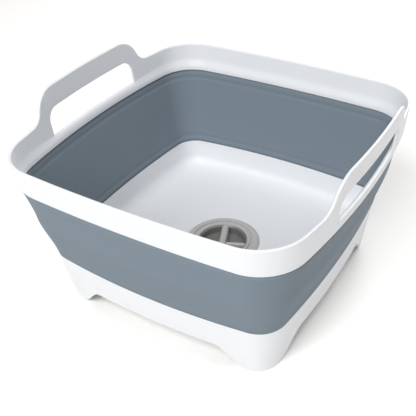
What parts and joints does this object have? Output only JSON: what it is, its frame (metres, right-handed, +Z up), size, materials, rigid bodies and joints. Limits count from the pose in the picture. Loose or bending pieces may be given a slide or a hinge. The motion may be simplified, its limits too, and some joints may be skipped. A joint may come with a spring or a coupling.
{
  "type": "collapsible washing up bowl",
  "caption": "Collapsible square washing up bowl: rigid rim with two grip handles, folding soft wall, footed base tray and a central drain with a lift-out plug.",
  "frame": {"origin": "on the ground under the middle of the bowl", "axes": "+Z up out of the bowl, X from the left handle to the right handle, front towards -Y"},
  "size_m": [0.3154, 0.3096, 0.1975],
  "materials": {
    "white_plastic": "moulded polypropylene, satin",
    "grey_elastomer": "moulded thermoplastic elastomer, matt",
    "grey_plastic": "moulded polypropylene, satin",
    "seal_rubber": "matt"
  },
  "bodies": {
    "base": {"base_tray": "white_plastic", "fold_wall": "grey_elastomer", "drain_flange": "grey_plastic", "floor_gasket": "seal_rubber", "lock_nut": "grey_plastic"},
    "rim": {"rim_frame": "white_plastic"},
    "plug": {"drain_plug": "grey_plastic", "plug_seal": "seal_rubber"}
  },
  "joints": [
    {"name": "collapse", "type": "slide", "parent": "base", "child": "rim", "axis": [0, 0, 1], "range_m": [-0.127, 0], "deforming": ["fold_wall"]},
    {"name": "plug_lift", "type": "slide", "parent": "base", "child": "plug", "axis": [0, 0, 1], "range_m": [0, 0.2]}
  ]
}
